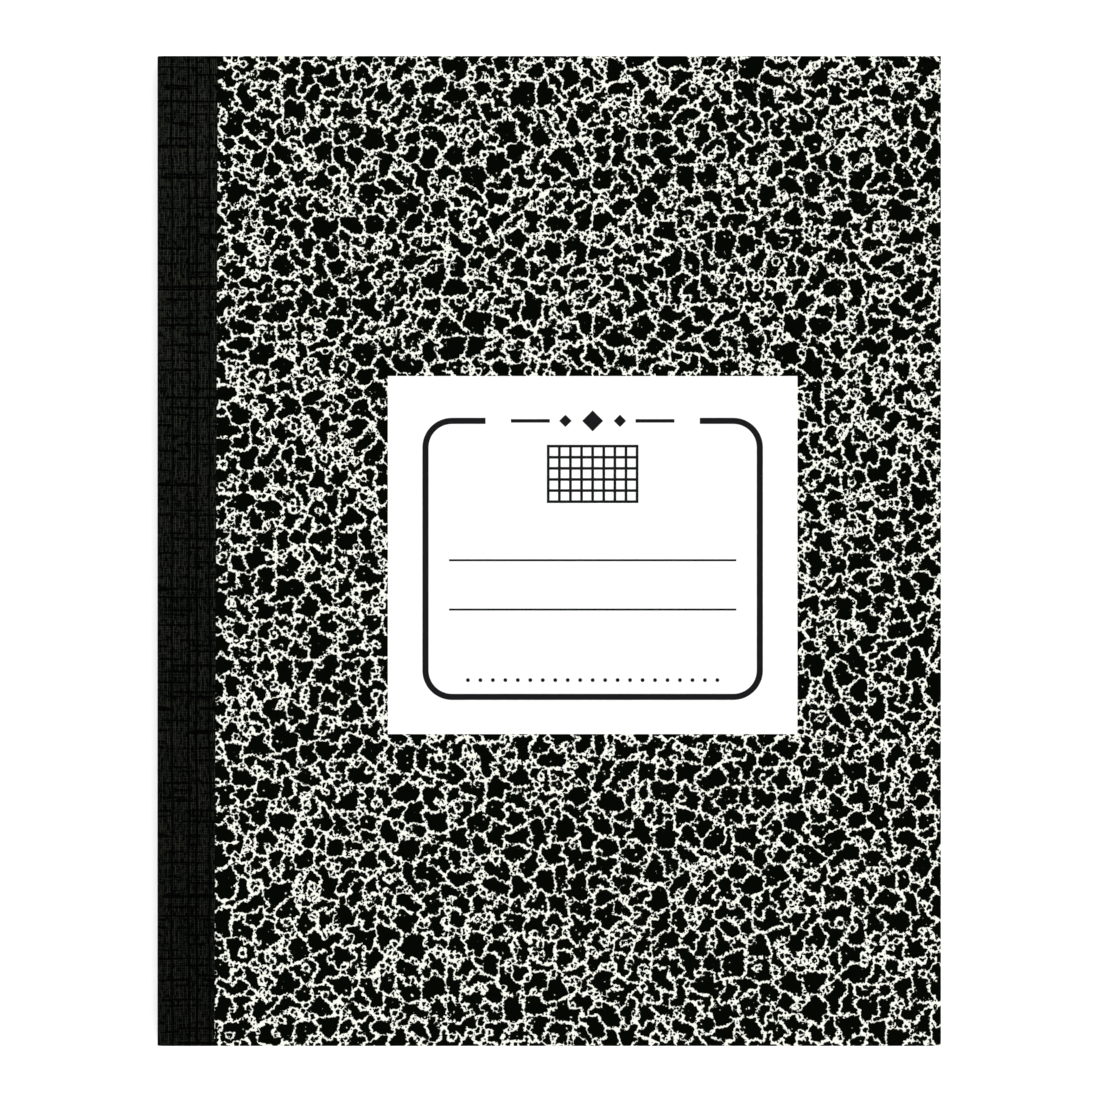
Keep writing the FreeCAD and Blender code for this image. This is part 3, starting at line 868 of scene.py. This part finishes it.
class MarblingSettings(PropertyGroup):
    """The marbled paper's pattern"""

    blot_pitch: length("Blots", "From one blot to the next", 5.46 * MM)
    bend_pitch: length("Bend spacing", "Size of the bends in the blots", 2.55 * MM)
    bend: length("Bend", "How far the blots are bent", 1.3 * MM)
    drop_pitch: length("Drops", "Spacing of the drops that run together", 1.63 * MM)
    drop_radius: length("Drop radius", "Middle size of a drop", 0.641 * MM)
    scatter: FloatProperty(
        name="Scatter", description="How unevenly the drops are spread", default=0.847,
        min=0.0, max=1.0, subtype="FACTOR",
    )
    alone: FloatProperty(
        name="Lone drops", description="Share of drops that stay alone", default=0.0792,
        min=0.0, max=1.0, subtype="FACTOR",
    )
    ripple_pitch: length("Ripple spacing", "Size of the ripples in the veins", 0.806 * MM)
    ripple: length("Ripple", "How far the veins ripple", 0.305 * MM)
    vein_width: length("Vein", "Half the width of a vein", 0.16 * MM)
    vein_unevenness: length("Vein unevenness", "How much the veins swell", 0.537 * MM)
    swell_pitch: length("Swell spacing", "Size of the swellings in the veins", 1.83 * MM)
    dot_pitch: length("Dots", "Spacing of the small dots in the veins", 0.923 * MM)
    dot_radius: length("Dot radius", "Largest small dot", 0.36 * MM)
    dot_gap: length("Dot gap", "From a small dot to a blot", 0.162 * MM)
    roughness: length("Ragged edge", "How ragged the blots' edges are", 0.589 * MM)
    rough_pitch: length("Ragged spacing", "Size of the raggedness", 1.2 * MM)
    rough_detail: FloatProperty(
        name="Ragged detail", description="Finer steps in the raggedness", default=1.6, min=0.0
    )
    rough_share: FloatProperty(
        name="Ragged share", description="How strong each finer step is", default=0.641,
        min=0.0, max=1.0,
    )
    speck_depth: length("Specks", "How deep pale specks bite into a blot", 12.1 * MM)
    speck_floor: FloatProperty(
        name="Speck floor", description="More leaves fewer specks", default=0.145,
        min=0.0, max=0.5,
    )
    softness: length("Softness", "Half the width of the print's soft edge", 0.07 * MM)
    paper_colour: colour("Ground", "Cream ground of the marbling", (0.74, 0.747, 0.688, 1))
    ink_colour: colour("Blots", "Black of the marbling", (0.0010, 0.0016, 0.0006, 1))


class TapeSettings(PropertyGroup):
    """The spine tape and its cloth"""

    corner: length("Corner", "Inside radius where the tape turns on to a cover", 2.0 * MM)
    tail_width: length("Width at the tail", "Tape seen on a cover, at the tail", 14.7 * MM)
    thread_pitch: length("Thread", "Spacing of the cloth's threads", 0.5 * MM)
    # The furrows are darkened with painted shade.
    furrow_pitch: length("Furrows", "Spacing of the dark lines in the cloth", 3.1 * MM)
    cloth_colour: colour("Cloth", "Raised threads", (0.0190, 0.0235, 0.0180, 1))
    cloth_tint: colour(
        "Cloth tint", "Raised threads in the browner patches", (0.0205, 0.0220, 0.0165, 1)
    )
    # Painted shade between the threads and in the furrows of the cloth.
    groove_shade_colour: colour("Grooves", "Between the threads", (0.0002, 0.0003, 0.0002, 1))


class LabelSettings(PropertyGroup):
    """The label"""

    paper_colour: colour("Label", "Label paper", (0.85, 0.85, 0.845, 1))
    ink_colour: colour("Print", "Black print", (0.0078, 0.0078, 0.0088, 1))


class StageSettings(PropertyGroup):
    """The floor, the lights and the camera"""

    floor_size: length("Floor", "Side of the floor", 12.0)
    floor_glow: FloatProperty(
        name="Floor glow", description="Light that the floor itself gives", default=0.22, min=0.0
    )
    camera_rise: length("Camera height", "Lens above the cover", 1.96)
    frame_width: length("Frame", "Width of the picture at the cover", 0.2822)
    aim: length("Aim", "Picture's middle from the book's, to the head and fore-edge", 0.257 * MM)
    softbox_side: length("Softbox", "Side of a softbox", 1.1)
    softbox_reach: length("Softbox distance", "From the book to a softbox", 1.7)
    softbox_power: FloatProperty(
        name="Softbox power", description="Power of a softbox", default=14.2, min=0.0, unit="POWER"
    )


# Operators.

class MakeLeaves(Operator):
    """Fold, nest and trim the leaves"""

    bl_idname = "notebook.make_leaves"
    bl_label = "Leaves"

    def execute(self, context):
        leaf = context.scene.notebook_leaves
        half = (LEAVES_HIGH.z - LEAVES_LOW.z) / 2
        values = {
            "Sheets": leaf.sheets,
            "Leaf Gauge": half / leaf.sheets,
            "Half Thickness": half,
            "Fold Radius": FOLD_RADIUS,
            "Fold X": LEAVES_LOW.x,
            "Fore-edge X": LEAVES_HIGH.x,
            "Middle Z": MIDDLE_Z,
            "Leaf Height": HEAD_Y - TAIL_Y,
            "Trim": leaf.trim,
            "Seed": leaf.seed,
            "Material": squared_paper(leaf),
        }
        recipe = Recipe("Folded sheets", values)
        leaves = recipe.grow("leaves", folded_sheets(recipe))
        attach(leaves, "pages")
        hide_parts("page_block")
        return {"FINISHED"}


class MakeStitches(Operator):
    """Sew the fold with one lock-stitched seam"""

    bl_idname = "notebook.make_stitches"
    bl_label = "Stitches"

    def execute(self, context):
        thread = context.scene.notebook_thread
        radius = (THREAD_HIGH.z - THREAD_LOW.z) / 2
        short_of_end = 0.1 * MM
        values = {
            "Tail Y": TAIL_Y + short_of_end,
            "Head Y": HEAD_Y - short_of_end,
            "First Stitch": -(thread.stitches - 1) * thread.stitch / 2,
            "Stitches": thread.stitches,
            "Stitch Pitch": thread.stitch,
            "Outside X": THREAD_LOW.x + radius,
            "Inside X": THREAD_HIGH.x - radius,
            "Middle Z": MIDDLE_Z,
            "Thread Radius": radius,
            "Twist": thread.twist,
            "Material": cotton(thread),
        }
        recipe = Recipe("Lock stitches", values)
        seam = recipe.grow("stitches", lock_stitches(recipe))
        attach(seam, "pages")
        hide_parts("sewing_thread")
        return {"FINISHED"}


class MakeEndpapers(Operator):
    """Paste the outermost sheet round the fold and inside both covers"""

    bl_idname = "notebook.make_endpapers"
    bl_label = "Endpapers"

    def execute(self, context):
        endpaper = context.scene.notebook_endpapers
        material = plain_paper("Endpaper", endpaper.paper_colour)
        rise = LINING_HIGH.z - MIDDLE_Z
        radius = endpaper.corner
        for name, side in SIDES:
            section = turned_section(
                WRAP_LOW.x, rise, radius, side, lambda y: LINING_HIGH.x
            )
            mesh = wrapped_strip(f"{name}_endpapers", section, (TAIL_Y, HEAD_Y), LINING_GAUGE)
            sheet = show(f"{name}_endpaper_sheet", mesh, material)
            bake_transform(sheet)
            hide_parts(f"{name}_endpaper", "endpaper_fold")
        return {"FINISHED"}


class MakeTape(Operator):
    """Wrap the cloth tape round the spine and on to both covers"""

    bl_idname = "notebook.make_tape"
    bl_label = "Spine tape"

    def execute(self, context):
        tape = context.scene.notebook_tape
        material = linen_tape(tape)
        rise = TAPE_HIGH.z - MIDDLE_Z
        head_width = TAPE_HIGH.x - BOOK_LOW.x

        def edge(y):
            share = (y - TAIL_Y) / (HEAD_Y - TAIL_Y)
            return BOOK_LOW.x + tape.tail_width + (head_width - tape.tail_width) * share

        for name, side in SIDES:
            section = turned_section(
                BOOK_LOW.x, rise, tape.corner + TAPE_GAUGE, side, edge, turn_steps=44
            )
            mesh = wrapped_strip(f"{name}_tape", section, (TAIL_Y, HEAD_Y), TAPE_GAUGE)
            strip = show(f"{name}_spine_tape", mesh, material)
            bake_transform(strip)
            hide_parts(f"spine_tape_{name}", "spine_tape")
        return {"FINISHED"}


class MakeCovers(Operator):
    """Cut the two boards and print their marbled papers"""

    bl_idname = "notebook.make_covers"
    bl_label = "Covers"

    def execute(self, context):
        covers = context.scene.notebook_covers
        marbling_settings = context.scene.notebook_marbling
        pulp = pulp_board(covers)
        # The back shows another stretch of the same pattern.
        shifts = {"front": (0.0, 0.0, 0.0), "back": (0.311, 0.173, 0.0)}
        for name, _ in SIDES:
            low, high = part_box(f"{name}_board")
            mesh = cut_block(f"{name}_board", low, high, covers.worn_edge)
            board = show(f"{name}_cover_board", mesh, pulp)
            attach(board, f"{name}_cover")
            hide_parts(f"{name}_board")
            material = marbled_paper(f"Marbled paper, {name}", marbling_settings, shifts[name])
            dress(f"{name}_marbled_paper", material)
        return {"FINISHED"}


class FinishLabel(Operator):
    """Give the label its paper and its print"""

    bl_idname = "notebook.finish_label"
    bl_label = "Label"

    def execute(self, context):
        label = context.scene.notebook_label
        dress("cover_label", plain_paper("Label paper", label.paper_colour, roughness=0.55))
        dress("label_print", printed_ink(label.ink_colour))
        return {"FINISHED"}


class MakeStage(Operator):
    """Lay a white floor, hang four softboxes and set the camera straight above"""

    bl_idname = "notebook.make_stage"
    bl_label = "Stage"

    def execute(self, context):
        stage = context.scene.notebook_stage
        half = stage.floor_size / 2
        floor_mesh = bpy.data.meshes.new("floor")
        corners = [(-half, -half, 0), (half, -half, 0), (half, half, 0), (-half, half, 0)]
        floor_mesh.from_pydata(corners, [], [(0, 1, 2, 3)])
        floor = show("floor", floor_mesh, plain_white(stage.floor_glow))
        for quarter in range(4):
            hang_softbox(stage, HALF_TURN / 2 * quarter)
        surround(context.scene)
        place_camera(context.scene, stage)
        return {"FINISHED"}


def plain_white(glow):
    """The floor's dull white, lit a little from below like a light table."""
    material = bpy.data.materials.new("Floor")
    material.use_nodes = True
    shader = material.node_tree.nodes["Principled BSDF"]
    shader.inputs["Base Color"].default_value = (0.95, 0.95, 0.95, 1)
    shader.inputs["Emission Color"].default_value = (1, 1, 1, 1)
    shader.inputs["Emission Strength"].default_value = glow
    shader.inputs["Roughness"].default_value = 1.0
    shader.inputs["Specular IOR Level"].default_value = 0.0
    return material


def hang_softbox(stage, bearing):
    """A square softbox 45 degrees up, facing the book, unseen by the camera."""
    light = bpy.data.lights.new("softbox", "AREA")
    light.shape = "SQUARE"
    light.size = stage.softbox_side
    light.energy = stage.softbox_power
    box = bpy.data.objects.new("softbox", light)
    aside = stage.softbox_reach * math.sqrt(0.5)
    box.location = (aside * math.cos(bearing), aside * math.sin(bearing), aside)
    box.rotation_euler = (-box.location).to_track_quat("-Z", "Y").to_euler()
    box.visible_camera = False
    bpy.context.scene.collection.objects.link(box)


def surround(scene):
    """A white surround for the camera that itself gives only a little light."""
    fill = 0.03
    world = bpy.data.worlds.new("Surround")
    world.use_nodes = True
    graph = Graph(world.node_tree)
    background = world.node_tree.nodes["Background"]
    seen = graph.add("ShaderNodeLightPath")
    background.inputs["Color"].default_value = (1, 1, 1, 1)
    graph.feed(background.inputs["Strength"], seen.between(fill, 1.0))
    scene.world = world
    scene.view_settings.view_transform = "Standard"


def place_camera(scene, stage):
    """A long lens straight above, the head of the book up."""
    lens = bpy.data.cameras.new("camera")
    lens.sensor_width = 36.0
    lens.lens = lens.sensor_width * stage.camera_rise / stage.frame_width
    lens.clip_end = 100.0
    camera = bpy.data.objects.new("camera", lens)
    camera.location = (stage.aim, stage.aim, BOOK_HIGH.z + stage.camera_rise)
    scene.collection.objects.link(camera)
    scene.camera = camera


class NotebookPanel(Panel):
    """The notebook's pieces and their sizes"""

    bl_idname = "VIEW3D_PT_composition_notebook"
    bl_label = "Composition Notebook"
    bl_space_type = "VIEW_3D"
    bl_region_type = "UI"
    bl_category = "Notebook"

    def draw(self, context):
        for operator, groups in PIECES:
            box = self.layout.box()
            box.operator(operator.bl_idname)
            for group in groups:
                settings = getattr(context.scene, group)
                for name in settings.__annotations__:
                    box.prop(settings, name)


PIECES = (
    (MakeLeaves, ("notebook_leaves",)),
    (MakeStitches, ("notebook_thread",)),
    (MakeEndpapers, ("notebook_endpapers",)),
    (MakeTape, ("notebook_tape",)),
    (MakeCovers, ("notebook_covers", "notebook_marbling")),
    (FinishLabel, ("notebook_label",)),
    (MakeStage, ("notebook_stage",)),
)
SETTINGS = {
    "notebook_leaves": LeafSettings,
    "notebook_thread": ThreadSettings,
    "notebook_endpapers": EndpaperSettings,
    "notebook_covers": CoverSettings,
    "notebook_marbling": MarblingSettings,
    "notebook_tape": TapeSettings,
    "notebook_label": LabelSettings,
    "notebook_stage": StageSettings,
}


def register():
    """Adds the settings, the operators and the panel."""
    for name, settings in SETTINGS.items():
        bpy.utils.register_class(settings)
        setattr(bpy.types.Scene, name, PointerProperty(type=settings))
    for operator, _ in PIECES:
        bpy.utils.register_class(operator)
    bpy.utils.register_class(NotebookPanel)


def unregister():
    """Takes them away again."""
    bpy.utils.unregister_class(NotebookPanel)
    for operator, _ in PIECES:
        bpy.utils.unregister_class(operator)
    for name, settings in SETTINGS.items():
        delattr(bpy.types.Scene, name)
        bpy.utils.unregister_class(settings)


def write_sizes():
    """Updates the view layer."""
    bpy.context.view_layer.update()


def main():
    """Makes every piece and the stage."""
    register()
    bpy.ops.notebook.make_leaves()
    bpy.ops.notebook.make_stitches()
    bpy.ops.notebook.make_endpapers()
    bpy.ops.notebook.make_tape()
    bpy.ops.notebook.make_covers()
    bpy.ops.notebook.finish_label()
    bpy.ops.notebook.make_stage()
    write_sizes()


if __name__ == "__main__":
    main()
